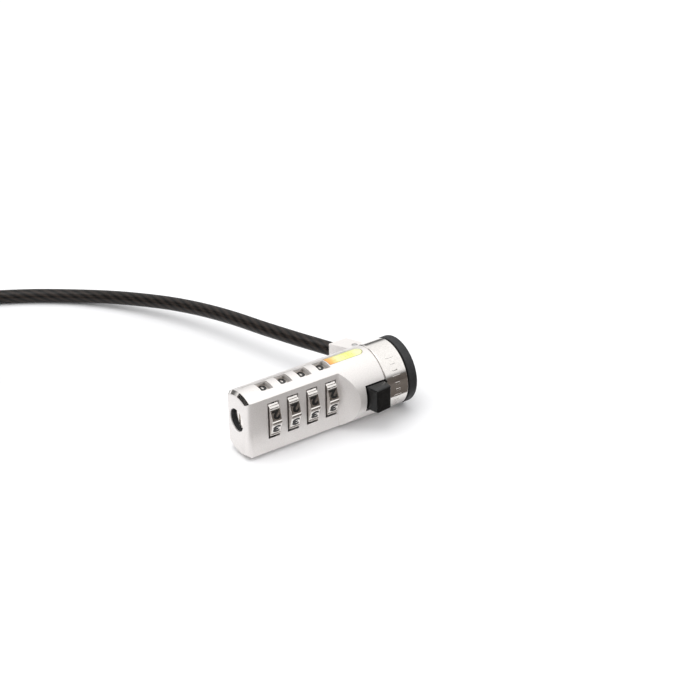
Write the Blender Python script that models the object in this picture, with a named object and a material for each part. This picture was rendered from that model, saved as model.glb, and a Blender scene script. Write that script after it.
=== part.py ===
"""Combination cable lock for a laptop: barrel lock head, T-bar nose, code dials and steel cable.

Run with: blender --background --python part.py
Units are metres with +Z up. The barrel lies along X with its nose at +X, its code face at -Y
and its cable at +Y. The world origin is under the middle of the lock head, on the surface it
rests on. All shapes are written in the barrel's own frame: x = 0 at the front of the rubber
nose, y = z = 0 on the barrel's axis.
"""
import math

import bmesh
import bpy
from mathutils import Matrix, Vector

MM = 0.001
GAP = 0.3 * MM                      # clearance kept between touching pieces

# ---- barrel ----
BARREL_R = 10.3 * MM
END_X = -55.8 * MM                  # free end
HOUSING_NOSE_X = -11.3 * MM
END_CHAMFER = 1.2 * MM
FLAT_Y = {-1: 5.0 * MM, 1: 5.9 * MM}            # front and rear flats, from the axis
END_FILLET = {-1: 2.0 * MM, 1: 0.8 * MM}
FLAT_END_X = -24.8 * MM             # each flat ends here and a ramp leads out
RAMP_END_X = -20.4 * MM
SPLIT_Y = 3.0 * MM                  # joint between housing and rear cover
COVER_X = (-52.75 * MM, -16.95 * MM)
COVER_SCREWS = [(x * MM, z * MM) for x in (-50.7, -20.9) for z in (-6.4, 6.4)]
STRIP_X = (-25.0 * MM, -13.8 * MM)
STRIP_Y = (-1.3 * MM, 2.4 * MM)
STRIP_Z = 9.2 * MM                  # underside of the indicator strip
STRIP_ROUND = 1.2 * MM              # length of its rounded nose end

# ---- dials ----
DIAL_COUNT = 4
DIAL_PITCH = 6.5 * MM
DIAL_FIRST_X = -46.9 * MM
DIAL_Y = 0.8 * MM
DIAL_Z = 1.3 * MM
DIAL_R = 8.0 * MM                   # over the ridges
FACET_R = 7.6 * MM                  # distance of the flat facets from the axis
FACET_W = 3.0 * MM
DIAL_SIDES = 10
DIAL_W = 3.2 * MM
DIAL_BORE_R = 4.8 * MM
RIDGE_W = 0.8 * MM
RIDGE_H = 0.3 * MM
SLOT_W = 3.8 * MM
SLOT_R = 8.3 * MM
TOP_WINDOW_Y = (-2.3 * MM, 2.3 * MM)
SLEEVE_R = 4.5 * MM
SLEEVE_BORE_R = 1.6 * MM
SLEEVE_W = 2.8 * MM
GATE_R = 3.1 * MM
GATE_W = 2.4 * MM
SPINDLE_R = 1.1 * MM
SPINDLE_BORE_R = 3.2 * MM
FIN_R = 2.7 * MM
FIN_W = 1.6 * MM
FIN_T = 1.4 * MM
SPINDLE_TRAVEL = 1.0 * MM
SPRING_R = 1.75 * MM

# ---- push button, rack and T-bar ----
PITCH_R = 1.5 * MM                  # pinion pitch radius: 2.36 mm of button travel is 90 degrees
PINION_TEETH = 6
ADDENDUM = 0.4 * MM
TOOTH_W = (0.62 * MM, 0.44 * MM, 0.24 * MM)     # at the root, the pitch line and the tip
BUTTON_X = (-17.9 * MM, -11.5 * MM)
BUTTON_Y = (-13.5 * MM, -7.5 * MM)
BUTTON_Z = (-3.5 * MM, 4.2 * MM)
BUTTON_SIDE_Y = -9.3 * MM           # its left side is square up to here and then leans in
BUTTON_TIP_X = -16.6 * MM
BUTTON_SET_BACK = 0.6 * MM          # how far its nose edge stands behind the front one
POCKET_X = (-18.2 * MM, -10.0 * MM)
POCKET_Z = (-4.1 * MM, 4.5 * MM)
POCKET_Y = 5.5 * MM
SHAFT_R = 1.1 * MM
TBAR_L = 5.8 * MM
TBAR_W = 2.4 * MM
TBAR_X = (2.3 * MM, 4.0 * MM)
PEG_Y = (1.7 * MM, 3.3 * MM)

# ---- nose ----
COLLAR_X = (-11.0 * MM, -3.3 * MM)
COLLAR_BORE_R = 7.6 * MM
CORE_R = 7.3 * MM
CORE_SCREW_Y = 1.0 * MM
CORE_SCREW_Z = 5.6 * MM
BUSH_R = 2.0 * MM
BUMPER_X = -3.0 * MM
PLATE_R = 6.0 * MM
PLATE_X = (-2.7 * MM, -0.6 * MM)

# ---- cable anchor ----
PIN_X = -6.7 * MM
PIN_Y = 13.4 * MM
PIN_R = 0.8 * MM
BLOCK_END_Y = 18.4 * MM
BLOCK_HALF_H = 3.5 * MM
BLOCK_NOSE_R = 2.65 * MM
BLOCK_W = 6.2 * MM
BLOCK_LEAN = 0.583                  # how far the sides lean along X for each unit of Y
CLEVIS_Y = 15.6 * MM                # end of the slot that takes the collar's lug
LUG_R = 1.8 * MM
TONGUE_HALF_H = 1.3 * MM
EXIT_X = -9.8 * MM                  # cable centre on the block's end face
CABLE_DIR = Vector((-0.42, 0.9075, 0.0)).normalized()

# ---- cable ----
CABLE_D = 4.4 * MM
CABLE_SUNK = 0.6 * MM               # depth of the cable's end in the anchor's bore
FLOOR_Z = -BARREL_R
COIL_X = -129.5 * MM
COIL_Y = 90.5 * MM
COIL_COLUMNS = 4                    # turns side by side, in two layers
COIL_TURN_R = 30.8 * MM             # centre line of the outermost turn
COIL_OUTER_R = COIL_TURN_R + CABLE_D / 2
COIL_INNER_R = COIL_OUTER_R - COIL_COLUMNS * CABLE_D
COIL_TOP_Z = FLOOR_Z + 2 * CABLE_D
TAIL_FROM = math.radians(25)        # the tail lies on the outermost turn from here
TAIL_LEAVES = math.radians(40)      # then bends inwards over the coil
TAIL_TO = math.radians(160)
TAIL_BEND_R = 18.0 * MM
TAIL_STRAIGHT = 2.0 * MM
CRIMP_L = 14.0 * MM
CRIMP_W = 10.4 * MM
CRIMP_H = 6.4 * MM
LOOP_NECK = 2.6 * MM
LOOP_R = 12.5 * MM
LOOP_STRAIGHT = 22.0 * MM
TIE_ANGLE = math.radians(-45)
TIE_T = 0.8 * MM
TIE_W = 6.0 * MM

# Route of the free cable from the anchor to the coil, in millimetres in the barrel's frame.
CABLE_ROUTE = [
    (-12.6, 24.4, 0.0), (-14.9, 29.5, -0.1), (-17.5, 36.2, -0.4),
    (-20.4, 44.9, -1.0), (-23.1, 53.8, -1.6), (-25.9, 62.8, -2.5), (-29.3, 71.8, -3.5),
    (-33.5, 80.8, -4.6), (-38.3, 89.1, -5.7), (-43.5, 96.8, -6.7), (-49.4, 103.8, -7.5),
    (-56.7, 110.6, -8.0), (-64.8, 116.6, -8.1), (-74.5, 122.4, -8.1), (-80.5, 125.1, -8.1),
    (-87.5, 126.8, -8.1), (-95.0, 126.9, -8.1), (-104.0, 125.9, -8.1), (-112.0, 124.7, -8.1),
]

# The lock head's extent along X and Y without its cable, which places the world origin.
HEAD_X = (END_X, TBAR_X[1])
HEAD_Y = (BUTTON_Y[0], BLOCK_END_Y)
ORIGIN = Vector((-sum(HEAD_X) / 2, -sum(HEAD_Y) / 2, BARREL_R))

COLOURS = {                         # base colour, metallic, roughness
    "satin_nickel": ((0.70, 0.67, 0.64), 1.0, 0.38),
    "bright_nickel": ((0.78, 0.76, 0.73), 1.0, 0.15),
    "steel": ((0.60, 0.60, 0.60), 1.0, 0.30),
    "brass": ((0.75, 0.60, 0.30), 1.0, 0.30),
    "black_plastic": ((0.012, 0.012, 0.013), 0.0, 0.22),
    "black_rubber": ((0.02, 0.02, 0.021), 0.0, 0.65),
    "cable_sleeve": ((0.03, 0.026, 0.024), 0.0, 0.25),
    "yellow_plastic": ((0.78, 0.80, 0.25), 0.0, 0.35),
    "tie_fabric": ((0.02, 0.02, 0.02), 0.0, 0.9),
}


# ---------------------------------------------------------------- outlines

def circle(radius, centre=(0.0, 0.0), count=48):
    """Points of a circle, counter-clockwise."""
    step = 2 * math.pi / count
    return [(centre[0] + radius * math.cos(i * step), centre[1] + radius * math.sin(i * step))
            for i in range(count)]


def arc(centre, radius, start, end, count):
    """Points along an arc, both ends included."""
    return [(centre[0] + radius * math.cos(start + (end - start) * i / count),
             centre[1] + radius * math.sin(start + (end - start) * i / count))
            for i in range(count + 1)]


def rectangle(low, high):
    return [(low[0], low[1]), (high[0], low[1]), (high[0], high[1]), (low[0], high[1])]


# ---------------------------------------------------------------- solids

def prism(outline, axis, low, high):
    """Extrude an outline along an axis. The outline's axes are YZ for X, XZ for Y and XY for Z."""
    def point(a, b, c):
        return {"X": (c, a, b), "Y": (a, c, b), "Z": (a, b, c)}[axis]

    mesh = bmesh.new()
    rings = [[mesh.verts.new(point(a, b, c)) for a, b in outline] for c in (low, high)]
    count = len(outline)
    mesh.faces.new(rings[0])
    mesh.faces.new(reversed(rings[1]))
    for i in range(count):
        j = (i + 1) % count
        mesh.faces.new((rings[0][i], rings[1][i], rings[1][j], rings[0][j]))
    return mesh


def box(x, y, z):
    return prism(rectangle((x[0], y[0]), (x[1], y[1])), "Z", *z)


def turned(profile, axis, count=48):
    """Turn a closed profile of (along, radius) points around an axis."""
    mesh = bmesh.new()
    rings = []
    for i in range(count):
        c = math.cos(2 * math.pi * i / count)
        s = math.sin(2 * math.pi * i / count)
        points = [{"X": (a, r * c, r * s), "Y": (r * c, a, r * s), "Z": (r * c, r * s, a)}[axis]
                  for a, r in profile]
        rings.append([mesh.verts.new(p) for p in points])
    size = len(profile)
    for i in range(count):
        here, there = rings[i], rings[(i + 1) % count]
        for k in range(size):
            m = (k + 1) % size
            mesh.faces.new((here[k], here[m], there[m], there[k]))
    return mesh


def rod(axis, low, high, radius, centre=(0.0, 0.0), count=24):
    return prism(circle(radius, centre, count), axis, low, high)


def ring(axis, low, high, outer, inner, count=48):
    return turned([(low, inner), (low, outer), (high, outer), (high, inner)], axis, count)


# ---------------------------------------------------------------- scene objects

def clear_scene():
    for old in list(bpy.data.objects):
        bpy.data.objects.remove(old, do_unlink=True)


def make_material(name):
    colour, metallic, roughness = COLOURS[name]
    material = bpy.data.materials.get(name) or bpy.data.materials.new(name)
    material.use_nodes = True
    shader = material.node_tree.nodes["Principled BSDF"]
    shader.inputs["Base Color"].default_value = (*colour, 1.0)
    shader.inputs["Metallic"].default_value = metallic
    shader.inputs["Roughness"].default_value = roughness
    return material


def add_object(name, data, at):
    """Put mesh or curve data in the scene, in the barrel's frame."""
    made = bpy.data.objects.new(name, data)
    bpy.context.collection.objects.link(made)
    made.parent = FRAME
    made.location = at
    return made


def solid(name, mesh, material, at=(0.0, 0.0, 0.0), smooth=35):
    """Turn a bmesh drawn around its own origin into a named node."""
    bmesh.ops.recalc_face_normals(mesh, faces=mesh.faces)
    data = bpy.data.meshes.new(name)
    mesh.to_mesh(data)
    mesh.free()
    data.shade_smooth()
    data.set_sharp_from_angle(angle=math.radians(smooth))
    own = make_material(material).copy()
    own.name = name
    data.materials.append(own)
    return add_object(name, data, at)


def combine(target, operation, meshes):
    """Apply a Boolean of each mesh to the target. The meshes are drawn in the target's frame."""
    for index, mesh in enumerate(meshes):
        bmesh.ops.recalc_face_normals(mesh, faces=mesh.faces)
        data = bpy.data.meshes.new(f"{target.name}_tool_{index}")
        mesh.to_mesh(data)
        mesh.free()
        tool = add_object(data.name, data, target.location)
        tool.hide_render = True
        tool.display_type = "WIRE"
        step = target.modifiers.new(data.name, "BOOLEAN")
        step.operation = operation
        step.object = tool


def cut(target, meshes):
    combine(target, "DIFFERENCE", meshes)


def join(target, meshes):
    combine(target, "UNION", meshes)


# ---------------------------------------------------------------- barrel

def barrel():
    """Full round barrel with its free end chamfered."""
    profile = [(END_X, BARREL_R - END_CHAMFER), (END_X + END_CHAMFER, BARREL_R),
               (HOUSING_NOSE_X, BARREL_R)]
    mesh = bmesh.new()
    rings = [[mesh.verts.new((x, y, z)) for y, z in circle(r, count=72)] for x, r in profile]
    for here, there in zip(rings, rings[1:]):
        for i in range(len(here)):
            j = (i + 1) % len(here)
            mesh.faces.new((here[i], here[j], there[j], there[i]))
    mesh.faces.new(rings[0])
    mesh.faces.new(rings[-1])
    return mesh


def flat_cutter(side):
    """Removes one flat, which ends in a ramp. side is -1 at the front and 1 at the rear."""
    flat = FLAT_Y[side]
    lean = (RAMP_END_X - FLAT_END_X) / (BARREL_R - flat)
    outline = [(END_X - MM, flat), (FLAT_END_X, flat),
               (RAMP_END_X + lean * MM, BARREL_R + MM), (END_X - MM, BARREL_R + MM)]
    return prism([(x, side * y) for x, y in outline], "Z", -BARREL_R - MM, BARREL_R + MM)


def end_fillet_cutter(side):
    """Rounds the upright edge where a flat meets the free end."""
    radius, flat = END_FILLET[side], FLAT_Y[side]
    centre = (END_X + radius, flat - radius)
    outline = arc(centre, radius * 1.005, math.pi, math.pi / 2, 6)
    outline += [(centre[0], flat + MM), (END_X - MM, flat + MM), (END_X - MM, centre[1])]
    return prism([(x, side * y) for x, y in outline], "Z", -BARREL_R - MM, BARREL_R + MM)


def dial_x(index):
    return DIAL_FIRST_X + index * DIAL_PITCH


def dial_slot_cutters():
    return [rod("X", dial_x(i) - SLOT_W / 2, dial_x(i) + SLOT_W / 2, SLOT_R, (DIAL_Y, DIAL_Z), 48)
            for i in range(DIAL_COUNT)]


def spindle_bore_cutter():
    return rod("X", -52.4 * MM, -22.5 * MM, SPINDLE_BORE_R, (DIAL_Y, DIAL_Z))


def front_housing():
    body = solid("front_housing", barrel(), "satin_nickel")
    cut(body, [box((COVER_X[0] - GAP / 2, COVER_X[1] + GAP / 2),
                   (SPLIT_Y - GAP / 2, BARREL_R + MM), (-BARREL_R - MM, BARREL_R + MM))])
    cut(body, dial_slot_cutters())
    cut(body, [box((dial_x(i) - SLOT_W / 2, dial_x(i) + SLOT_W / 2), TOP_WINDOW_Y,
                   (8.8 * MM, BARREL_R + MM)) for i in range(DIAL_COUNT)])
    cut(body, [spindle_bore_cutter(),
               rod("X", -22.9 * MM, -15.7 * MM, 1.4 * MM, (DIAL_Y, DIAL_Z)),
               rod("X", END_X - MM, -53.2 * MM, 3.55 * MM, (DIAL_Y, DIAL_Z)),
               rod("X", -53.6 * MM, -51.6 * MM, 1.8 * MM, (DIAL_Y, DIAL_Z))])
    cut(body, [box((-49.3 * MM, -25.0 * MM), (-1.3 * MM, SPLIT_Y), (-9.0 * MM, -6.0 * MM))])
    cut(body, [box(POCKET_X, (-BARREL_R - MM, POCKET_Y), POCKET_Z)])
    cut(body, [rod("Y", -0.6 * MM, SPLIT_Y + MM, 0.9 * MM, screw, 16) for screw in COVER_SCREWS])
    cut(body, [rod("X", -15.0 * MM, -10.0 * MM, 0.75 * MM, (CORE_SCREW_Y, side * CORE_SCREW_Z), 12)
               for side in (-1, 1)])
    cut(body, [strip_solid(GAP)])
    cut(body, [flat_cutter(-1), flat_cutter(1), end_fillet_cutter(-1), end_fillet_cutter(1)])


def rear_cover():
    body = solid("rear_cover", barrel(), "satin_nickel")
    combine(body, "INTERSECT", [box(COVER_X, (SPLIT_Y + GAP / 2, BARREL_R + MM),
                                    (-BARREL_R - MM, BARREL_R + MM))])
    cut(body, [flat_cutter(1)] + dial_slot_cutters() + [spindle_bore_cutter()])
    for screw in COVER_SCREWS:
        cut(body, [rod("Y", 2.0 * MM, BARREL_R, 0.9 * MM, screw, 12),
                   rod("Y", 3.9 * MM, BARREL_R, 1.4 * MM, screw, 16)])
    for index, screw in enumerate(COVER_SCREWS):
        shank = rod("Y", -0.3 * MM, 4.3 * MM, 0.6 * MM, screw, 12)
        made = solid(f"cover_screw_{index + 1}", shank, "steel")
        join(made, [rod("Y", 4.2 * MM, 4.9 * MM, 1.1 * MM, screw, 16)])
        cut(made, [box((screw[0] - 0.2 * MM, screw[0] + 0.2 * MM), (4.6 * MM, FLAT_Y[1]),
                       (screw[1] - 1.5 * MM, screw[1] + 1.5 * MM))])


def strip_solid(grow):
    """Yellow strip let into the top of the barrel, with its nose end rounded in plan."""
    x0, x1 = STRIP_X[0] - grow, STRIP_X[1] + grow - STRIP_ROUND
    y0, y1 = STRIP_Y[0] - grow, STRIP_Y[1] + grow
    round_end = arc((x1, (y0 + y1) / 2), (y1 - y0) / 2, -math.pi / 2, math.pi / 2, 8)
    outline = [(x0, y1), (x0, y0)] + round_end
    top = BARREL_R + 2 * MM if grow else BARREL_R - GAP
    return prism(outline, "Z", STRIP_Z - grow, top)


def indicator_strip():
    strip = solid("indicator_strip", strip_solid(0.0), "yellow_plastic")
    combine(strip, "INTERSECT", [rod("X", -30 * MM, -10 * MM, BARREL_R, count=96)])


# ---------------------------------------------------------------- dials and spindle

def dial_outline():
    """Ten facets with a raised bar between each two, as (y, z) around the dial's axis."""
    points = []
    half = RIDGE_W / 2
    corner_r = math.hypot(FACET_R, FACET_W / 2)
    corner = corner_r * math.sin(math.pi / DIAL_SIDES - math.atan(FACET_W / 2 / FACET_R))
    for i in range(DIAL_SIDES):
        angle = 2 * math.pi * i / DIAL_SIDES
        for along, radius in ((-corner, corner_r), (-half * 1.3, DIAL_R - RIDGE_H),
                              (-half * 0.8, DIAL_R), (half * 0.8, DIAL_R),
                              (half * 1.3, DIAL_R - RIDGE_H), (corner, corner_r)):
            turn = angle + math.asin(along / radius)
            points.append((radius * math.cos(turn), radius * math.sin(turn)))
    return points


def dials():
    for i in range(DIAL_COUNT):
        at = (dial_x(i), DIAL_Y, DIAL_Z)
        made = solid(f"dial_{i + 1}", prism(dial_outline(), "X", -DIAL_W / 2, DIAL_W / 2),
                     "bright_nickel", at)
        cut(made, [rod("X", -DIAL_W, DIAL_W, DIAL_BORE_R, count=32)])
        sleeve = solid(f"code_sleeve_{i + 1}",
                       ring("X", -SLEEVE_W / 2, SLEEVE_W / 2, SLEEVE_R, SLEEVE_BORE_R, 32),
                       "brass", at)
        cut(sleeve, [box((-SLEEVE_W, SLEEVE_W), (-GATE_W / 2, GATE_W / 2), (0.5 * MM, GATE_R))])


def locking_spindle():
    """Rod with a spring seat and one fin beside each code sleeve."""
    at = (0.0, DIAL_Y, DIAL_Z)
    spindle = solid("locking_spindle", rod("X", -50.2 * MM, -15.9 * MM, SPINDLE_R), "steel", at)
    fins = [rod("X", -49.1 * MM, -48.65 * MM, SPRING_R + 0.4 * MM)]
    for i in range(DIAL_COUNT):
        middle = dial_x(i) + DIAL_PITCH / 2 + SPINDLE_TRAVEL / 2
        fins.append(box((middle - FIN_T / 2, middle + FIN_T / 2), (-FIN_W / 2, FIN_W / 2),
                        (0.3 * MM, FIN_R)))
    join(spindle, fins)


def helix(radius, pitch, turns, axis, per_turn=10):
    """Points of a helix that starts at its own origin."""
    points = []
    for i in range(int(turns * per_turn) + 1):
        angle = 2 * math.pi * i / per_turn
        along = pitch * i / per_turn
        side, up = radius * math.cos(angle), radius * math.sin(angle)
        points.append((along, side, up) if axis == "X" else (side, along, up))
    return points


def tube(name, points, diameter, material, at=(0.0, 0.0, 0.0), resolution=2):
    """Round bar along a list of points, with flat ends."""
    curve = bpy.data.curves.new(name, "CURVE")
    curve.dimensions = "3D"
    curve.bevel_depth = diameter / 2
    curve.bevel_resolution = resolution
    curve.use_fill_caps = True
    spline = curve.splines.new("POLY")
    spline.points.add(len(points) - 1)
    for target, point in zip(spline.points, points):
        target.co = (*point, 1.0)
    own = make_material(material).copy()
    own.name = name
    curve.materials.append(own)
    return add_object(name, curve, at)


def springs():
    tube("spindle_spring", helix(SPRING_R, 0.6 * MM, 1.7, "X"), 0.36 * MM, "steel",
         (-50.6 * MM, DIAL_Y, DIAL_Z), 1)
    tube("button_spring", helix(0.55 * MM, 0.8 * MM, 11, "Y", 8), 0.24 * MM, "steel",
         (-13.7 * MM, -7.0 * MM, -3.1 * MM), 0)


def reset_screw():
    at = (0.0, DIAL_Y, DIAL_Z)
    screw = solid("reset_screw", rod("X", -53.7 * MM, -52.0 * MM, 1.5 * MM), "bright_nickel", at)
    head = turned([(-54.7 * MM, 0.01 * MM), (-54.7 * MM, 2.7 * MM), (-54.35 * MM, 3.2 * MM),
                   (-53.5 * MM, 3.2 * MM), (-53.5 * MM, 0.01 * MM)], "X", 32)
    join(screw, [head, rod("X", -54.65 * MM, -53.55 * MM, 0.5 * MM)])
    cut(screw, [box((END_X - MM, -54.1 * MM), (-0.45 * MM, 0.45 * MM), (-4 * MM, 4 * MM))])


def detent_spring():
    """Leaf under the dials with a hump for each one."""
    outline = [(-49.0 * MM, -8.8 * MM), (-25.3 * MM, -8.8 * MM), (-25.3 * MM, -8.4 * MM)]
    for i in reversed(range(DIAL_COUNT)):
        middle = dial_x(i)
        outline += [(middle + 1.5 * MM, -8.4 * MM), (middle + 0.5 * MM, -7.1 * MM),
                    (middle - 0.5 * MM, -7.1 * MM), (middle - 1.5 * MM, -8.4 * MM)]
    outline.append((-49.0 * MM, -8.4 * MM))
    solid("detent_spring", prism(outline, "Y", -1.0 * MM, 2.5 * MM), "steel")


# ---------------------------------------------------------------- button, rack and T-bar

def push_button():
    """Cap that narrows towards its front."""
    outline = [(BUTTON_X[0], BUTTON_Y[1]), (BUTTON_X[0], BUTTON_SIDE_Y),
               (BUTTON_TIP_X, BUTTON_Y[0]), (BUTTON_X[1], BUTTON_Y[0] + BUTTON_SET_BACK),
               (BUTTON_X[1], BUTTON_Y[1])]
    cap = solid("push_button", prism(outline, "Z", *BUTTON_Z), "black_plastic")
    edge = cap.modifiers.new("edge", "BEVEL")
    edge.width = 0.5 * MM
    edge.segments = 2
    edge.limit_method = "ANGLE"


def button_slider():
    """Slide behind the button with a rack that drives the pinion from above."""
    root_z = PITCH_R + ADDENDUM
    step = 2 * math.pi * PITCH_R / PINION_TEETH
    outline = [(-7.2 * MM, 3.3 * MM), (-7.2 * MM, root_z)]
    for tooth in range(-3, 1):
        middle = (tooth + 0.5) * step
        for side, z in ((-TOOTH_W[0] / 2, root_z), (-TOOTH_W[2] / 2, PITCH_R - ADDENDUM),
                        (TOOTH_W[2] / 2, PITCH_R - ADDENDUM), (TOOTH_W[0] / 2, root_z)):
            outline.append((middle + side, z))
    outline += [(2.7 * MM, root_z), (2.7 * MM, 3.3 * MM)]
    solid("button_slider", prism(outline, "X", -15.3 * MM, -12.0 * MM), "steel")


def pinion_outline():
    """A tooth points straight up, between two teeth of the rack."""
    points = []
    radii = (PITCH_R - ADDENDUM, PITCH_R, PITCH_R + ADDENDUM)
    for tooth in range(PINION_TEETH):
        middle = math.pi / 2 + 2 * math.pi * tooth / PINION_TEETH
        for side in (-1, 1):
            rows = list(zip(radii, TOOTH_W))[::-side]
            for radius, width in rows:
                turn = middle + side * math.asin(width / 2 / radius)
                points.append((radius * math.cos(turn), radius * math.sin(turn)))
    return points


def t_bar_spindle():
    spindle = solid("t_bar_spindle", rod("X", -12.2 * MM, TBAR_X[0] + 0.2 * MM, SHAFT_R), "steel")
    half_l, half_w = TBAR_L / 2, TBAR_W / 2
    bar = [(y, z) for y, z in ((-half_w, -half_l + 0.6 * MM), (-half_w + 0.5 * MM, -half_l),
                               (half_w - 0.5 * MM, -half_l), (half_w, -half_l + 0.6 * MM),
                               (half_w, half_l - 0.6 * MM), (half_w - 0.5 * MM, half_l),
                               (-half_w + 0.5 * MM, half_l), (-half_w, half_l - 0.6 * MM))]
    join(spindle, [prism(pinion_outline(), "X", -15.3 * MM, -12.1 * MM),
                   prism(bar, "X", *TBAR_X)])


# ---------------------------------------------------------------- nose

def collar():
    """Turned collar with a lug for the cable anchor at its rear."""
    profile = [(COLLAR_X[0], COLLAR_BORE_R), (COLLAR_X[0], BARREL_R - 0.3 * MM),
               (COLLAR_X[0] + 0.3 * MM, BARREL_R), (COLLAR_X[1] - 0.2 * MM, BARREL_R),
               (COLLAR_X[1], BARREL_R - 0.2 * MM), (COLLAR_X[1], COLLAR_BORE_R)]
    made = solid("collar_ring", turned(profile, "X", 72), "bright_nickel")
    lug = [(PIN_X - LUG_R, 9.0 * MM), (PIN_X + LUG_R, 9.0 * MM)]
    lug += arc((PIN_X, PIN_Y), LUG_R, 0, math.pi, 12)
    join(made, [prism(lug, "Z", -TONGUE_HALF_H, TONGUE_HALF_H)])
    cut(made, [rod("Z", -5 * MM, 5 * MM, PIN_R + GAP, (PIN_X, PIN_Y), 16)])


def nose():
    core = solid("nose_core", rod("X", COLLAR_X[0], -3.1 * MM, CORE_R, count=48), "steel")
    cut(core, [rod("X", -12 * MM, -2 * MM, BUSH_R + GAP)])
    for index, side in enumerate((-1, 1)):
        centre = (CORE_SCREW_Y, side * CORE_SCREW_Z)
        cut(core, [rod("X", -12 * MM, -2 * MM, 0.75 * MM, centre, 12),
                   rod("X", -4.4 * MM, -2 * MM, 1.35 * MM, centre, 16)])
        screw = solid(f"core_screw_{index + 1}",
                      rod("X", -14.5 * MM, -3.9 * MM, 0.45 * MM, centre, 12), "steel")
        join(screw, [rod("X", -4.1 * MM, -3.4 * MM, 1.05 * MM, centre, 16)])
    solid("spindle_bush", ring("X", -11.2 * MM, -3.1 * MM, BUSH_R, SHAFT_R + GAP, 32), "brass")
    solid("nose_bumper", turned([(BUMPER_X, PLATE_R + GAP), (BUMPER_X, BARREL_R),
                                 (-0.4 * MM, BARREL_R), (0.0, BARREL_R - 0.4 * MM),
                                 (0.0, PLATE_R + GAP)], "X", 72), "black_rubber")
    plate = solid("peg_plate", rod("X", *PLATE_X, PLATE_R, count=48), "steel")
    join(plate, [box((-0.8 * MM, 2.0 * MM), sorted((side * PEG_Y[0], side * PEG_Y[1])),
                     (-1.15 * MM, 1.15 * MM)) for side in (-1, 1)])
    cut(plate, [rod("X", -4 * MM, 3 * MM, SHAFT_R + GAP)])


# ---------------------------------------------------------------- cable anchor

def anchor():
    """Clevis block on an upright pin, with the cable's bore in its end face."""
    left = PIN_X - (BLOCK_END_Y - PIN_Y) * BLOCK_LEAN - BLOCK_W / 2
    side_angle = math.atan(BLOCK_LEAN)
    outline = [(left, BLOCK_END_Y)]
    outline += arc((PIN_X, PIN_Y), BLOCK_NOSE_R, math.pi + side_angle, 2 * math.pi + side_angle, 14)
    outline += [(left + BLOCK_W, BLOCK_END_Y)]
    block = solid("anchor_block", prism(outline, "Z", -BLOCK_HALF_H, BLOCK_HALF_H),
                  "satin_nickel")
    cut(block, [box((-20 * MM, 5 * MM), (5 * MM, CLEVIS_Y),
                    (-TONGUE_HALF_H - GAP, TONGUE_HALF_H + GAP)),
                rod("Z", -5 * MM, 5 * MM, PIN_R + GAP, (PIN_X, PIN_Y), 16)])
    bore = rod("Z", -2.0 * MM, 4 * MM, CABLE_D / 2 + GAP)
    bmesh.ops.transform(bore, matrix=along_cable(0.0), verts=bore.verts)
    cut(block, [bore])
    solid("anchor_pin", rod("Z", -3.4 * MM, 3.4 * MM, PIN_R, (PIN_X, PIN_Y), 16), "steel")
    stop = rod("Z", -1.7 * MM, -0.9 * MM, CABLE_D / 2 - 0.1 * MM)
    bmesh.ops.transform(stop, matrix=along_cable(0.0), verts=stop.verts)
    solid("cable_stop", stop, "steel")


def along_cable(distance):
    """Matrix that points +Z along the cable where it leaves the anchor."""
    turn = Vector((0, 0, 1)).rotation_difference(CABLE_DIR).to_matrix().to_4x4()
    point = Vector((EXIT_X, BLOCK_END_Y, 0)) + CABLE_DIR * distance
    return Matrix.Translation(point) @ turn


# ---------------------------------------------------------------- cable

def smooth_curve(points, spacing):
    """Evenly spaced points on a smooth curve through the given ones."""
    ends = [points[0] * 2 - points[1]] + points + [points[-1] * 2 - points[-2]]
    dense = []
    for a, b, c, d in zip(ends, ends[1:], ends[2:], ends[3:]):
        for k in range(20):
            t = k / 20
            dense.append(0.5 * (2 * b + (c - a) * t + (2 * a - 5 * b + 4 * c - d) * t * t
                                + (3 * b - a - 3 * c + d) * t ** 3))
    dense.append(points[-1])
    length = sum((q - p).length for p, q in zip(dense, dense[1:]))
    count = max(2, round(length / spacing))
    made, walked, target = [dense[0]], 0.0, length / count
    for p, q in zip(dense, dense[1:]):
        walked += (q - p).length
        if walked >= target - 1e-9 and len(made) < count:
            made.append(q)
            target += length / count
    return made + [dense[-1]]


def tail_points():
    """The cable's last stretch: on the outermost turn, then in over the coil to the crimp."""
    z = COIL_TOP_Z + GAP + CABLE_D / 2
    inset = COIL_TURN_R - TAIL_BEND_R
    centre = (inset * math.cos(TAIL_LEAVES), inset * math.sin(TAIL_LEAVES))
    line = arc((0, 0), COIL_TURN_R, TAIL_FROM, TAIL_LEAVES, 2)
    line += arc(centre, TAIL_BEND_R, TAIL_LEAVES, TAIL_TO, 6)[1:]
    points = [Vector((COIL_X + x, COIL_Y + y, z)) for x, y in line]
    return points + [points[-1] + tail_direction() * TAIL_STRAIGHT]


def tail_direction():
    return Vector((-math.sin(TAIL_TO), math.cos(TAIL_TO), 0))


def crimp_frame():
    """Start of the crimp's centre line, its direction and the direction across it."""
    along = tail_direction()
    left = Vector((-along.y, along.x, 0))
    start = tail_points()[-1] + along * GAP + left * LOOP_NECK
    start.z = COIL_TOP_Z + GAP + CRIMP_H / 2
    return start, along, left


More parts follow.
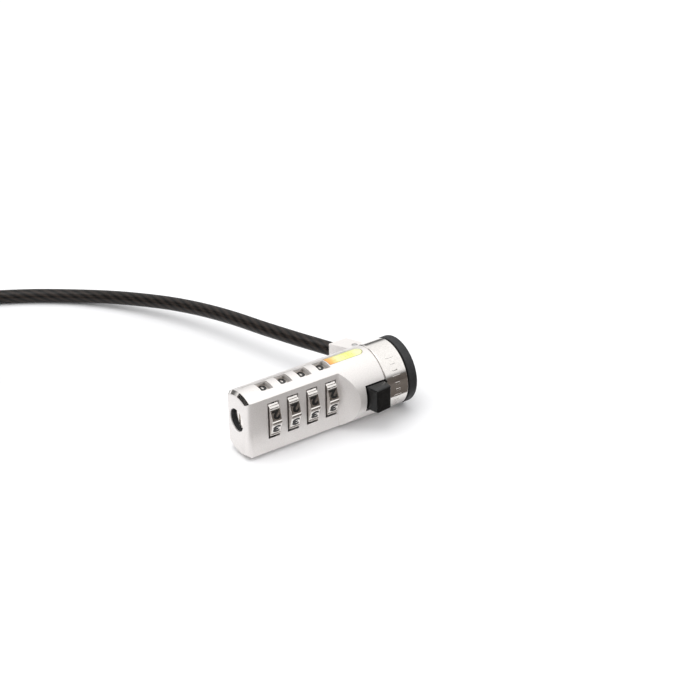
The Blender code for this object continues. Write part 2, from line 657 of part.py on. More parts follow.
def crimp_and_loop():
    start, along, left = crimp_frame()
    half_w, half_h = CRIMP_W / 2, CRIMP_H / 2
    flat = half_w - half_h
    outline = arc((flat, 0), half_h, -math.pi / 2, math.pi / 2, 8)
    outline += arc((-flat, 0), half_h, math.pi / 2, 3 * math.pi / 2, 8)
    crimp = prism(outline, "Z", 0, CRIMP_L)
    turn = Matrix((left, Vector((0, 0, 1)), along)).transposed().to_4x4()
    bmesh.ops.transform(crimp, matrix=Matrix.Translation(start) @ turn, verts=crimp.verts)
    solid("loop_crimp", crimp, "steel")
    origin = start + along * (CRIMP_L + GAP)
    origin.z = COIL_TOP_Z + GAP + CABLE_D / 2
    side = [(0.0, LOOP_NECK)]
    for i in range(6):
        share = (i + 0.3) / 6
        ease = share * share * (3 - 2 * share)
        side.append((LOOP_STRAIGHT * share, LOOP_NECK + (LOOP_R - LOOP_NECK) * ease))
    outer = arc((LOOP_STRAIGHT, 0), LOOP_R, math.pi / 2, -math.pi / 2, 10)
    path = side + outer + [(s, -w) for s, w in reversed(side)]
    tube("cable_loop", [origin + along * s + left * w for s, w in path], CABLE_D, "cable_sleeve")


def coil_and_tie():
    """The wound length as one turned ring, with a strap round it that lies in a notch below."""
    inner, outer, top = COIL_INNER_R, COIL_OUTER_R, COIL_TOP_Z
    soft = 1.2 * MM
    profile = [(FLOOR_Z, inner + soft), (FLOOR_Z, outer - soft), (FLOOR_Z + soft, outer),
               (top - soft, outer), (top, outer - soft), (top, inner + soft),
               (top - soft, inner), (FLOOR_Z + soft, inner)]
    coil = solid("cable_coil", turned(profile, "Z", 48), "cable_sleeve", (COIL_X, COIL_Y, 0))
    turn = Matrix.Rotation(TIE_ANGLE, 4, "Z")
    notch = box((inner - MM, outer + MM), (-TIE_W / 2 - GAP, TIE_W / 2 + GAP),
                (FLOOR_Z - MM, FLOOR_Z + TIE_T + GAP))
    bmesh.ops.transform(notch, matrix=turn, verts=notch.verts)
    cut(coil, [notch])
    room = 0.45 * MM
    tie = box((inner - room - TIE_T, outer + room + TIE_T), (-TIE_W / 2, TIE_W / 2),
              (FLOOR_Z, top + GAP + TIE_T))
    hole = box((inner - room, outer + room), (-TIE_W, TIE_W), (FLOOR_Z + TIE_T, top + GAP))
    for mesh in (tie, hole):
        bmesh.ops.transform(mesh, matrix=turn, verts=mesh.verts)
    cut(solid("coil_tie", tie, "tie_fabric", (COIL_X, COIL_Y, 0)), [hole])


def cable():
    inside_anchor = Vector((EXIT_X, BLOCK_END_Y, 0)) - CABLE_DIR * CABLE_SUNK
    route = [inside_anchor] + [Vector(point) * MM for point in CABLE_ROUTE]
    tube("cable", smooth_curve(route, 9.5 * MM), CABLE_D, "cable_sleeve")
    tube("cable_tail", tail_points(), CABLE_D, "cable_sleeve")


clear_scene()
FRAME = bpy.data.objects.new("lock_frame", None)
bpy.context.collection.objects.link(FRAME)
FRAME.location = ORIGIN

front_housing()
rear_cover()
indicator_strip()
dials()
locking_spindle()
springs()
reset_screw()
detent_spring()
push_button()
button_slider()
t_bar_spindle()
collar()
nose()
anchor()
cable()
coil_and_tie()
crimp_and_loop()
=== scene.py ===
import math

import bmesh
import bpy
from mathutils import Matrix, Vector

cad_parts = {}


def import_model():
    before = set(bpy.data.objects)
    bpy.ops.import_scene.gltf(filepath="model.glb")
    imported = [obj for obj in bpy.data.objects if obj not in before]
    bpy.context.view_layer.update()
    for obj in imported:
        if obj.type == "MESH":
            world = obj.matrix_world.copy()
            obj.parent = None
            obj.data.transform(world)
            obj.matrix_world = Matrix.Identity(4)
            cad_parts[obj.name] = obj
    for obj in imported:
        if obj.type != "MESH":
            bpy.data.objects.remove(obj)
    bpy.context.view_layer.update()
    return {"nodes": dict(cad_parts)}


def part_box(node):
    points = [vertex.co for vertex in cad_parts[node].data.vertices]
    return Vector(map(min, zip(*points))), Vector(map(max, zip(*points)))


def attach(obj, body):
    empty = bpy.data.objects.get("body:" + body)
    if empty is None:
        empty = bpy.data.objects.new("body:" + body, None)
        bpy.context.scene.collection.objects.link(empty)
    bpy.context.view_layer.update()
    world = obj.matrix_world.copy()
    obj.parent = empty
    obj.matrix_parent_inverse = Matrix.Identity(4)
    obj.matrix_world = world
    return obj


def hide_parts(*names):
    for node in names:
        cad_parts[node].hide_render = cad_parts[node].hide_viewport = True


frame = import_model()

# All sizes are in millimetres in the barrel's own frame: x = 0 at the front of the rubber
# nose, y = z = 0 on the barrel's axis. -Y is the code face and +Y the cable's side.
MM = 0.001
low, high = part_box("nose_bumper")
ORIGIN = Vector((high.x, (low.y + high.y) / 2, (low.z + high.z) / 2))

# ---- barrel ----
BARREL_R = 10.3
FLOOR_Z = -BARREL_R
END_X = -55.8
NOSE_X = -11.3
END_CHAMFER = 1.2
FLAT_Y = {-1: 5.0, 1: 5.9}          # front and rear flats, from the axis
END_FILLET = {-1: 2.0, 1: 0.8}
FLAT_END_X = -24.8                  # each flat ends here and a ramp leads out
RAMP_END_X = -20.4
SPLIT_Y = 3.0
COVER_X = (-52.75, -16.95)
COVER_SCREWS = [(x, z) for x in (-50.7, -20.9) for z in (-6.4, 6.4)]
SEAM = 0.15
STRIP_X = (-25.0, -13.8)
STRIP_Y = (-1.3, 2.4)
STRIP_Z = 9.2                       # underside of the indicator strip
STRIP_POCKET_Z = 8.9
STRIP_ROUND = 1.2                   # length of its rounded nose end
STRIP_GROOVE_X = (-20.6, -19.4, -18.2, -17.0)
COVER_SCREW_HOLE_R = 0.9
COVER_SCREW_SINK = (3.9, 1.4)       # floor and radius of the hole for the head
COVER_SCREW_SHANK = (-0.3, 4.25, 0.6)       # from, to, radius
COVER_SCREW_HEAD = (4.1, 4.9, 1.1)

# ---- dials ----
DIAL_COUNT = 4
DIAL_PITCH = 6.5
DIAL_FIRST_X = -46.9
DIAL_Y = 0.8
DIAL_Z = 1.3
DIAL_R = 8.0                        # over the ridges
FACET_R = 7.6                       # distance of the flat facets from the axis
FACET_W = 3.0
DIAL_SIDES = 10
DIAL_W = 3.2
DIAL_BORE_R = 4.9
RIDGE_W = 0.8
RIDGE_H = 0.3
SLOT_W = 3.8
SLOT_R = 8.3
TOP_WINDOW_Y = (-2.3, 2.3)
TOP_WINDOW_Z = 8.8                  # the top windows are cut from here up
SPINDLE_BORE_X = (-52.4, -22.5)
SPINDLE_BORE_R = 3.2
SPINDLE_END = (-22.9, -15.7, 1.4)   # narrow end of the bore: from, to, radius
DETENT_POCKET = ((-49.3, -25.0), (-1.3, SPLIT_Y), (-9.0, -6.0))
DIGIT_H = 2.75
DIGIT_W = 2.35

# ---- push button ----
BUTTON_X = (-17.9, -11.5)
BUTTON_Y = (-13.5, -7.5)
BUTTON_Z = (-3.5, 4.2)
BUTTON_SIDE_Y = -9.3                # its left side is square up to here and then leans in
BUTTON_TIP_X = -16.6
BUTTON_SET_BACK = 0.6               # how far its nose edge stands behind the front one
POCKET_X = (-18.2, -10.0)
POCKET_Z = (-4.1, 4.5)
POCKET_END_Y = 5.5

# ---- reset screw ----
RESET_HEAD = [(-54.7, 0.05), (-54.7, 2.3), (-54.55, 2.8), (-54.2, 3.1), (-53.9, 3.2), (-53.5, 3.2),
              (-53.5, 0.05)]        # (x, radius)
RESET_SHANK = (-53.7, -52.0, 1.5)   # from, to, radius
RESET_SLOT_X = -54.0                # floor of the slot
RESET_SLOT_W = 0.9
RESET_RECESS = (-53.2, 3.55)        # floor and radius
RESET_THREAD = (-53.6, -51.6, 1.8)
# Black ring round the reset screw's head in its recess: painted shade.
SHADE_RING_X = (-55.5, -53.3)
SHADE_RING_R = (3.3, 3.5)
BEVEL_LIFT = 0.03                   # how far the polished skin stands proud of the chamfer

# ---- nose ----
COLLAR_X = (-11.0, -3.3)
COLLAR_BORE_R = 7.6
COLLAR_CHAMFER = 0.35
COLLAR_BAR_X = -7.2
COLLAR_BARS = 9
BUMPER_X = -3.0
BUMPER_ROUND = 0.8
PLATE_X = (-2.7, -0.6)
PLATE_R = 6.0
PEG_X = (-0.8, 2.0)
PEG_Y = (1.7, 3.3)
PEG_HALF_H = 1.15
TBAR_L = 5.8
TBAR_W = 2.4
TBAR_X = (2.3, 4.0)
SHAFT_R = 1.1
SHAFT_X = (-11.95, 2.5)
PINION_X = (-15.3, -11.9)
PINION_TEETH = 6
PINION_TOOTH = [(1.02, 0.5), (1.45, 0.34), (1.85, 0.2)]     # (radius, width) from root to tip

# ---- cable anchor ----
PIN_X = -6.7
PIN_Y = 13.4
PIN_R = 0.8
PIN_HALF_L = 3.4
LUG_R = 1.8
LUG_Y = 9.0                         # the lug starts inside the collar
LUG_HALF_H = 1.3
BLOCK_END_Y = 18.4
BLOCK_HALF_H = 3.5
BLOCK_NOSE_R = 2.65
BLOCK_W = 6.2
BLOCK_LEAN = 0.583
CLEVIS_Y = 15.6

# ---- cable ----
CABLE_D = 4.4
EXIT = Vector((-9.8, BLOCK_END_Y, 0))
EXIT_DIRECTION = Vector((-0.42, 0.9075, 0)).normalized()
COIL = Vector((-129.5, 90.5, 0))
COIL_COLUMNS = 4
COIL_TURN_R = 30.8                  # centre line of the outermost turn
COIL_OUTER_R = COIL_TURN_R + CABLE_D / 2
COIL_INNER_R = COIL_OUTER_R - COIL_COLUMNS * CABLE_D
COIL_TOP_Z = FLOOR_Z + 2 * CABLE_D
LIE_GAP = 0.3                       # the tail, crimp and eye lie this far above the turns
SPACING = 1.5                       # between points along the cable
TAIL_FROM = math.radians(25)
TAIL_LEAVES = math.radians(40)
TAIL_TO = math.radians(160)
TAIL_BEND_R = 18.0
TAIL_STRAIGHT = 2.0
CRIMP = (14.0, 10.4, 6.4)           # length, width, height
CRIMP_BANDS = [(0, 0.35), (0.5, 0), (3.2, 0), (3.9, 0.5), (5.0, 0.5), (5.7, 0),
               (8.3, 0), (9.0, 0.5), (10.1, 0.5), (10.8, 0), (13.5, 0), (14, 0.35)]
LOOP_NECK = 2.6
LOOP_R = 12.5
LOOP_STRAIGHT = 22.0
TIE_ANGLE = math.radians(-45)
TIE_W = 6.0
TIE_T = 0.8
TIE_ROOM = 0.45                     # between the turns and the strap
TIE_CORNER = 1.8
TIE_LIFT = 0.9                      # how far the strap lifts the turns that cross it
RAMP_SHARE = 1 / 6                  # share of each turn that steps over to the next one
RISE = math.radians(60)             # part of the last turn that climbs on top
CABLE_ROUTE = [
    (-12.6, 24.4, 0.0), (-14.9, 29.5, -0.1), (-17.5, 36.2, -0.4),
    (-20.4, 44.9, -1.0), (-23.1, 53.8, -1.6), (-25.9, 62.8, -2.5), (-29.3, 71.8, -3.5),
    (-33.5, 80.8, -4.6), (-38.3, 89.1, -5.7), (-43.5, 96.8, -6.7), (-49.4, 103.8, -7.5),
    (-56.7, 110.6, -8.0), (-64.8, 116.6, -8.1), (-74.5, 122.4, -8.1), (-80.5, 125.1, -8.1),
    (-87.5, 126.8, -8.1), (-95.0, 126.9, -8.1), (-104.0, 125.9, -8.1), (-112.0, 124.7, -8.1),
]

# ---- camera ----
CAMERA_AT = (-274.05, -389.5, 290.3)
CAMERA_AZIMUTH = math.radians(33.4)
CAMERA_ELEVATION = math.radians(30.83)
CAMERA_ROLL = math.radians(-0.73)
CAMERA_LENS = 95.63


# ---------------------------------------------------------------- materials

def new_material(name, colour, metallic, roughness):
    """A Principled material, its node tree and its shader."""
    material = bpy.data.materials.new(name)
    material.use_nodes = True
    tree = material.node_tree
    shader = tree.nodes["Principled BSDF"]
    shader.inputs["Base Color"].default_value = (*colour, 1)
    shader.inputs["Metallic"].default_value = metallic
    shader.inputs["Roughness"].default_value = roughness
    return material, tree, shader


def node(tree, kind, **inputs):
    made = tree.nodes.new(kind)
    for name, value in inputs.items():
        made.inputs[name.replace("_", " ")].default_value = value
    return made


def place(tree, scale=(1, 1, 1), kind="Object"):
    """Texture position in metres on the piece, scaled."""
    source = tree.nodes.new("ShaderNodeTexCoord")
    mapping = tree.nodes.new("ShaderNodeMapping")
    mapping.inputs["Scale"].default_value = scale
    tree.links.new(source.outputs[kind], mapping.inputs["Vector"])
    return mapping.outputs["Vector"]


def grain(tree, scale, detail=4.0, stretch=(1, 1, 1)):
    """Noise with a feature size of about 1/scale metres."""
    made = node(tree, "ShaderNodeTexNoise", Scale=scale, Detail=detail)
    tree.links.new(place(tree, stretch), made.inputs["Vector"])
    return made.outputs["Fac"]


def ramp(tree, factor, stops):
    made = tree.nodes.new("ShaderNodeValToRGB")
    elements = made.color_ramp.elements
    while len(elements) < len(stops):
        elements.new(0.5)
    for element, (position, colour) in zip(elements, stops):
        element.position = position
        element.color = (*colour, 1) if isinstance(colour, tuple) else (colour, colour, colour, 1)
    tree.links.new(factor, made.inputs["Fac"])
    return made.outputs["Color"]


def bump(tree, shader, height, distance, strength=1.0):
    made = node(tree, "ShaderNodeBump", Strength=strength, Distance=distance)
    tree.links.new(height, made.inputs["Height"])
    tree.links.new(made.outputs["Normal"], shader.inputs["Normal"])


def metal(name, dark, light, roughness, scale, stretch=(1, 1, 1), depth=0.000004, spread=0.1,
          metallic=1.0):
    """Plated or plain metal: fine speckle in colour, roughness and height."""
    material, tree, shader = new_material(name, light, metallic, roughness)
    speckle = grain(tree, scale, 6.0, stretch)
    broad = grain(tree, 160.0, 3.0)
    tree.links.new(ramp(tree, speckle, [(0.3, dark), (0.7, light)]), shader.inputs["Base Color"])
    rough = ramp(tree, broad, [(0.3, roughness - spread / 2), (0.7, roughness + spread / 2)])
    tree.links.new(rough, shader.inputs["Roughness"])
    bump(tree, shader, speckle, depth)
    return material


def plain(name, dark, light, roughness, scale, depth, coat=0.0, specular=0.5):
    """Plastic or rubber with fine mottling and grain."""
    material, tree, shader = new_material(name, light, 0.0, roughness)
    mottle = grain(tree, scale, 5.0)
    tree.links.new(ramp(tree, mottle, [(0.3, dark), (0.7, light)]), shader.inputs["Base Color"])
    worn = ramp(tree, grain(tree, 300.0), [(0.3, roughness * 0.8), (0.7, roughness * 1.2)])
    tree.links.new(worn, shader.inputs["Roughness"])
    shader.inputs["Specular IOR Level"].default_value = specular
    shader.inputs["Coat Weight"].default_value = coat
    shader.inputs["Coat Roughness"].default_value = 0.08
    bump(tree, shader, mottle, depth)
    return material


def strip_material():
    """Yellow-green plastic that turns orange at the dial end, with a faint moulded relief."""
    material, tree, shader = new_material("indicator_strip_look", (0.80, 0.82, 0.22), 0.0, 0.3)
    split = tree.nodes.new("ShaderNodeSeparateXYZ")
    tree.links.new(place(tree), split.inputs["Vector"])
    wobble = grain(tree, 900.0, 2.0)
    shifted = tree.nodes.new("ShaderNodeMath")
    shifted.operation = "MULTIPLY_ADD"
    shifted.inputs[1].default_value = 0.003
    tree.links.new(wobble, shifted.inputs[0])
    tree.links.new(split.outputs["X"], shifted.inputs[2])
    along = tree.nodes.new("ShaderNodeMapRange")
    start = ORIGIN.x + STRIP_X[0] * MM
    along.inputs["From Min"].default_value = start
    along.inputs["From Max"].default_value = start + 0.012
    tree.links.new(shifted.outputs["Value"], along.inputs["Value"])
    colours = [(0.05, (0.80, 0.28, 0.03)), (0.26, (0.88, 0.47, 0.08)),
               (0.42, (0.84, 0.85, 0.38)), (0.75, (0.80, 0.83, 0.22)), (0.95, (0.86, 0.88, 0.45))]
    tree.links.new(ramp(tree, along.outputs["Result"], colours), shader.inputs["Base Color"])
    shader.inputs["Coat Weight"].default_value = 0.6
    shader.inputs["Subsurface Weight"].default_value = 0.15
    shader.inputs["Subsurface Radius"].default_value = (0.001, 0.001, 0.0005)
    bump(tree, shader, grain(tree, 700.0, 2.0), 0.00012)
    return material


def cable_material():
    """Dark twisted strands seen through a clear glossy sleeve. U runs round and V along."""
    material, tree, shader = new_material("cable_look", (0.02, 0.017, 0.015), 0.0, 0.35)
    split = tree.nodes.new("ShaderNodeSeparateXYZ")
    tree.links.new(place(tree, (1, 1, 1), "UV"), split.inputs["Vector"])
    turned_u = node(tree, "ShaderNodeMath")
    turned_u.operation = "MULTIPLY"
    turned_u.inputs[1].default_value = 7.0
    tree.links.new(split.outputs["X"], turned_u.inputs[0])
    lay = node(tree, "ShaderNodeMath")
    lay.operation = "MULTIPLY_ADD"
    lay.inputs[1].default_value = -250.0
    tree.links.new(split.outputs["Y"], lay.inputs[0])
    tree.links.new(turned_u.outputs["Value"], lay.inputs[2])
    wrapped = node(tree, "ShaderNodeMath")
    wrapped.operation = "PINGPONG"
    wrapped.inputs[1].default_value = 0.5
    tree.links.new(lay.outputs["Value"], wrapped.inputs[0])
    strands = ramp(tree, wrapped.outputs["Value"], [(0.04, (0.003, 0.003, 0.003)),
                                                    (0.2, (0.016, 0.012, 0.010)),
                                                    (0.5, (0.036, 0.026, 0.021))])
    mottle = ramp(tree, grain(tree, 1500.0, 4.0), [(0.3, 0.55), (0.7, 1.0)])
    mixed = tree.nodes.new("ShaderNodeMix")
    mixed.data_type = "RGBA"
    mixed.blend_type = "MULTIPLY"
    mixed.inputs["Factor"].default_value = 1.0
    tree.links.new(strands, mixed.inputs["A"])
    tree.links.new(mottle, mixed.inputs["B"])
    tree.links.new(mixed.outputs["Result"], shader.inputs["Base Color"])
    shader.inputs["Specular IOR Level"].default_value = 0.15
    shader.inputs["Coat Weight"].default_value = 0.15
    shader.inputs["Coat Roughness"].default_value = 0.12
    bump(tree, shader, wrapped.outputs["Value"], 0.0002, 0.6)
    return material


def strap_material():
    """Woven hook and loop strap."""
    material, tree, shader = new_material("strap_look", (0.02, 0.02, 0.02), 0.0, 0.9)
    weave = node(tree, "ShaderNodeTexVoronoi", Scale=1600.0)
    tree.links.new(place(tree), weave.inputs["Vector"])
    tree.links.new(ramp(tree, weave.outputs["Distance"], [(0.0, 0.035), (0.8, 0.008)]),
                   shader.inputs["Base Color"])
    shader.inputs["Sheen Weight"].default_value = 0.4
    bump(tree, shader, weave.outputs["Distance"], 0.0002)
    return material


SATIN = metal("satin_nickel_look", (0.77, 0.74, 0.72), (0.87, 0.84, 0.82), 0.42, 4200.0,
              metallic=0.55)
POLISHED = metal("bright_nickel_look", (0.80, 0.77, 0.74), (0.87, 0.84, 0.81), 0.12, 1500.0,
                 depth=0.0000003, spread=0.05)
STEEL = metal("steel_look", (0.50, 0.50, 0.50), (0.66, 0.65, 0.64), 0.3, 1800.0, (0.1, 1, 1))
SPRING_STEEL = metal("spring_look", (0.55, 0.55, 0.54), (0.72, 0.71, 0.70), 0.22, 3000.0)
BRASS = metal("brass_look", (0.66, 0.50, 0.22), (0.80, 0.64, 0.32), 0.28, 2200.0, (1, 0.2, 0.2))
RUBBER = plain("rubber_look", (0.010, 0.010, 0.011), (0.026, 0.026, 0.028), 0.6, 2500.0, 0.00003)
GLOSS_BLACK = plain("button_look", (0.004, 0.004, 0.004), (0.012, 0.012, 0.012), 0.16, 900.0,
                    0.000003, 0.15, 0.25)
INK = plain("ink_look", (0.004, 0.004, 0.004), (0.014, 0.014, 0.014), 0.4, 3000.0, 0.000004)
STRIP = strip_material()
CABLE = cable_material()
STRAP = strap_material()


# ---------------------------------------------------------------- shapes

def to_row(point):
    """A point in the barrel's frame, as metres in the row frame."""
    return ORIGIN + Vector(point) * MM


def circle(radius, centre=(0.0, 0.0), count=96):
    step = 2 * math.pi / count
    return [(centre[0] + radius * math.cos(i * step), centre[1] + radius * math.sin(i * step))
            for i in range(count)]


def arc(centre, radius, start, end, count):
    return [(centre[0] + radius * math.cos(start + (end - start) * i / count),
             centre[1] + radius * math.sin(start + (end - start) * i / count))
            for i in range(count + 1)]


def rectangle(low, high):
    return [(low[0], low[1]), (high[0], low[1]), (high[0], high[1]), (low[0], high[1])]


def prism(outline, axis, low, high):
    """Extrude an outline along an axis. The outline's axes are YZ for X, XZ for Y and XY for Z."""
    def point(a, b, c):
        return {"X": (c, a, b), "Y": (a, c, b), "Z": (a, b, c)}[axis]

    mesh = bmesh.new()
    rings = [[mesh.verts.new(point(a, b, c)) for a, b in outline] for c in (low, high)]
    mesh.faces.new(rings[0])
    mesh.faces.new(reversed(rings[1]))
    for i in range(len(outline)):
        j = (i + 1) % len(outline)
        mesh.faces.new((rings[0][i], rings[1][i], rings[1][j], rings[0][j]))
    return mesh


def box(x, y, z):
    return prism(rectangle((x[0], y[0]), (x[1], y[1])), "Z", *z)


def rod(axis, low, high, radius, centre=(0.0, 0.0), count=48):
    return prism(circle(radius, centre, count), axis, low, high)


def turned(profile, count=128, centre=(0.0, 0.0), closed=True):
    """Turn a profile of (x, radius) points around an axis along X."""
    mesh = bmesh.new()
    rings = [[mesh.verts.new((x, y, z)) for y, z in circle(max(r, 0.001), centre, count)]
             for x, r in profile]
    pairs = list(zip(rings, rings[1:] + rings[:1])) if closed else list(zip(rings, rings[1:]))
    for here, there in pairs:
        for i in range(count):
            j = (i + 1) % count
            mesh.faces.new((here[i], here[j], there[j], there[i]))
    if not closed:
        mesh.faces.new(rings[0])
        mesh.faces.new(rings[-1])
    return mesh


def mesh_data(name, mesh, matrix=Matrix.Identity(4)):
    """Mesh data in the row frame from a bmesh drawn in the barrel's frame."""
    bmesh.ops.transform(mesh, matrix=matrix, verts=mesh.verts)
    bmesh.ops.recalc_face_normals(mesh, faces=mesh.faces)
    whole = Matrix.Translation(ORIGIN) @ Matrix.Scale(MM, 4)
    bmesh.ops.transform(mesh, matrix=whole, verts=mesh.verts)
    data = bpy.data.meshes.new(name)
    mesh.to_mesh(data)
    mesh.free()
    return data


def link(name, data, material):
    made = bpy.data.objects.new(name, data)
    bpy.context.collection.objects.link(made)
    data.materials.clear()
    data.materials.append(material)
    return made


def piece(name, mesh, material, cuts=(), keep=(), joins=(), edge=0.0, segments=2, smooth=35,
          matrix=Matrix.Identity(4)):
    """A shown piece: a solid, its Booleans, softened edges and smooth shading."""
    made = link(name, mesh_data(name, mesh, matrix), material)
    tools = []
    for operation, meshes in (("UNION", joins), ("INTERSECT", keep), ("DIFFERENCE", cuts)):
        for tool_mesh in meshes:
            tool = bpy.data.objects.new("tool", mesh_data("tool", tool_mesh, matrix))
            bpy.context.collection.objects.link(tool)
            step = made.modifiers.new("cut", "BOOLEAN")
            step.operation = operation
            step.object = tool
            tools.append(tool)
    if tools:
        graph = bpy.context.evaluated_depsgraph_get()
        solid = bpy.data.meshes.new_from_object(made.evaluated_get(graph))
        made.modifiers.clear()
        made.data = solid
        solid.materials.clear()
        solid.materials.append(material)
        for tool in tools:
            bpy.data.objects.remove(tool)
    if edge:
        bevel = made.modifiers.new("edge", "BEVEL")
        bevel.width = edge * MM
        bevel.segments = segments
        bevel.limit_method = "ANGLE"
        bevel.angle_limit = math.radians(28)
        bevel.miter_outer = "MITER_ARC"
    made.data.shade_smooth()
    made.data.set_sharp_from_angle(angle=math.radians(smooth))
    if edge:
        weigh = made.modifiers.new("shading", "WEIGHTED_NORMAL")
        weigh.keep_sharp = False
    return made


def merged(meshes):
    """Several separate bmeshes as one."""
    whole = bmesh.new()
    for mesh in meshes:
        data = bpy.data.meshes.new("part")
        mesh.to_mesh(data)
        mesh.free()
        whole.from_mesh(data)
        bpy.data.meshes.remove(data)
    return whole


def finish_piece(made, body, slot, *nodes):
    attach(made, body)
    if nodes:
        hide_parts(*nodes)


# ---------------------------------------------------------------- camera, light and floor

def camera():
    a, e, roll = CAMERA_AZIMUTH, CAMERA_ELEVATION, CAMERA_ROLL
    forward = Vector((math.sin(a) * math.cos(e), math.cos(a) * math.cos(e), -math.sin(e)))
    level = Vector((math.cos(a), -math.sin(a), 0))
    upright = level.cross(forward)
    right = math.cos(roll) * level + math.sin(roll) * upright
    up = -math.sin(roll) * level + math.cos(roll) * upright
    data = bpy.data.cameras.new("camera")
    data.lens = CAMERA_LENS
    data.sensor_width = 36
    data.clip_start = 0.01
    data.clip_end = 20
    made = bpy.data.objects.new("camera", data)
    bpy.context.collection.objects.link(made)
    turn = Matrix((right, up, -forward)).transposed().to_4x4()
    made.matrix_world = Matrix.Translation(to_row(CAMERA_AT)) @ turn
    bpy.context.scene.camera = made


def floor():
    bpy.ops.mesh.primitive_plane_add(size=6)
    made = bpy.context.object
    made.name = "floor"
    made.location.z = to_row((0, 0, FLOOR_Z)).z - 0.00005
    material, tree, shader = new_material("floor_look", (0.93, 0.93, 0.94), 0.0, 0.6)
    shade = ramp(tree, grain(tree, 8.0, 2.0),
                 [(0.3, (0.92, 0.92, 0.93)), (0.7, (0.94, 0.94, 0.95))])
    tree.links.new(shade, shader.inputs["Base Color"])
    shader.inputs["Specular IOR Level"].default_value = 0.1
    made.data.materials.append(material)


def card(name, at, facing, width, height, shade):
    """A dark card that only reflections see."""
    bpy.ops.mesh.primitive_plane_add(size=1)
    made = bpy.context.object
    made.name = name
    made.scale = (width * MM, height * MM, 1)
    made.rotation_mode = "QUATERNION"
    made.rotation_quaternion = Vector(facing).to_track_quat("Z", "Y")
    made.location = to_row(at)
    material, _, _ = new_material(name, (shade, shade * 0.85, shade * 0.75), 0.0, 0.9)
    made.data.materials.append(material)
    for flag in ("visible_camera", "visible_diffuse", "visible_shadow", "visible_transmission"):
        setattr(made, flag, False)


def area_light(name, at, target, size, power):
    data = bpy.data.lights.new(name, "AREA")
    data.shape = "DISK"
    data.size = size * MM
    data.energy = power
    made = bpy.data.objects.new(name, data)
    bpy.context.collection.objects.link(made)
    made.location = to_row(at)
    away = made.location - to_row(target)
    made.rotation_mode = "QUATERNION"
    made.rotation_quaternion = away.to_track_quat("Z", "Y")


def world():
    """White room that darkens towards the horizon."""
    made = bpy.data.worlds.new("room")
    made.use_nodes = True
    bpy.context.scene.world = made
    tree = made.node_tree
    back = tree.nodes["Background"]
    back.inputs["Strength"].default_value = 1.25
    split = tree.nodes.new("ShaderNodeSeparateXYZ")
    source = tree.nodes.new("ShaderNodeTexCoord")
    tree.links.new(source.outputs["Generated"], split.inputs["Vector"])
    shade = ramp(tree, split.outputs["Z"], [(0.0, 0.09), (0.2, 0.14), (0.38, 0.84), (1.0, 0.97)])
    tree.links.new(shade, back.inputs["Color"])


def studio():
    floor()
    world()
    area_light("key", (-110, 60, 450), (-30, 0, 0), 400, 0.7)
    card("front_card", (40, -95, 8), (-0.4, 1, 0.1), 260, 36, 0.1)
    card("floor_card", (10, -58, FLOOR_Z + 0.5), (0, 0, 1), 170, 88, 0.1)
    card("end_card", (-265, 135, 170), (1, -0.5, -0.65), 260, 90, 0.01)
    scene = bpy.context.scene
    scene.view_settings.view_transform = "Standard"
    scene.view_settings.look = "None"
    scene.view_settings.exposure = 0.0


# ---------------------------------------------------------------- cable

def smooth_curve(points, spacing):
    """Evenly spaced points on a smooth curve through the given ones."""
    ends = [points[0] * 2 - points[1]] + points + [points[-1] * 2 - points[-2]]
    dense = []
    for a, b, c, d in zip(ends, ends[1:], ends[2:], ends[3:]):
        for k in range(24):
            t = k / 24
            dense.append(0.5 * (2 * b + (c - a) * t + (2 * a - 5 * b + 4 * c - d) * t * t
                                + (3 * b - a - 3 * c + d) * t ** 3))
    dense.append(points[-1])
    return evenly(dense, spacing)


def evenly(points, spacing):
    """The same line with points at even steps along it."""
    length = sum((q - p).length for p, q in zip(points, points[1:]))
    count = max(2, round(length / spacing))
    step = length / count
    made, walked = [points[0]], 0.0
    for p, q in zip(points, points[1:]):
        run = (q - p).length
        while walked + run >= step * len(made) and len(made) < count:
            made.append(p.lerp(q, (step * len(made) - walked) / run))
        walked += run
    return made + [points[-1]]


def ease(share):
    share = min(1.0, max(0.0, share))
    return share * share * (3 - 2 * share)


def over_tie(radius, angle):
    """How far the turns are lifted where they lie on the strap."""
    off = (angle - TIE_ANGLE + math.pi) % (2 * math.pi) - math.pi
    return TIE_LIFT * (1 - ease((abs(off) * radius - 4) / 10))


def on_coil(radius, angle, z):
    return COIL + Vector((radius * math.cos(angle), radius * math.sin(angle), z))


def coil_points():
    """Turns from the outside in on the floor, then from the inside out on top of them."""
    below, above = FLOOR_Z + CABLE_D / 2, FLOOR_Z + 1.5 * CABLE_D
    arriving = Vector(CABLE_ROUTE[-1]) - COIL
    start = math.atan2(arriving.y, arriving.x)
    start += math.acos(COIL_TURN_R / Vector((arriving.x, arriving.y)).length)
    radii = [COIL_TURN_R - i * CABLE_D for i in range(COIL_COLUMNS)]
    radii += radii[::-1]
    levels = [below] * COIL_COLUMNS + [above] * COIL_COLUMNS
    last = start + 2 * math.pi * (len(radii) - 1)
    end = last + (TAIL_FROM - last) % (2 * math.pi)
    points, angle = [], start
    while angle < end:
        turn = int((angle - start) / (2 * math.pi))
        share = ease(((angle - start) / (2 * math.pi) - turn - 1 + RAMP_SHARE) / RAMP_SHARE)
        after = min(turn + 1, len(radii) - 1)
        r = radii[turn] + (radii[after] - radii[turn]) * share
        z = levels[turn] + (levels[after] - levels[turn]) * share
        rise = ease((angle - end + RISE) / RISE) * (CABLE_D + LIE_GAP)
        points.append(on_coil(r, angle, z + max(rise, over_tie(r, angle))))
        angle += math.radians(3)
    return points


def tail_direction():
    return Vector((-math.sin(TAIL_TO), math.cos(TAIL_TO), 0))


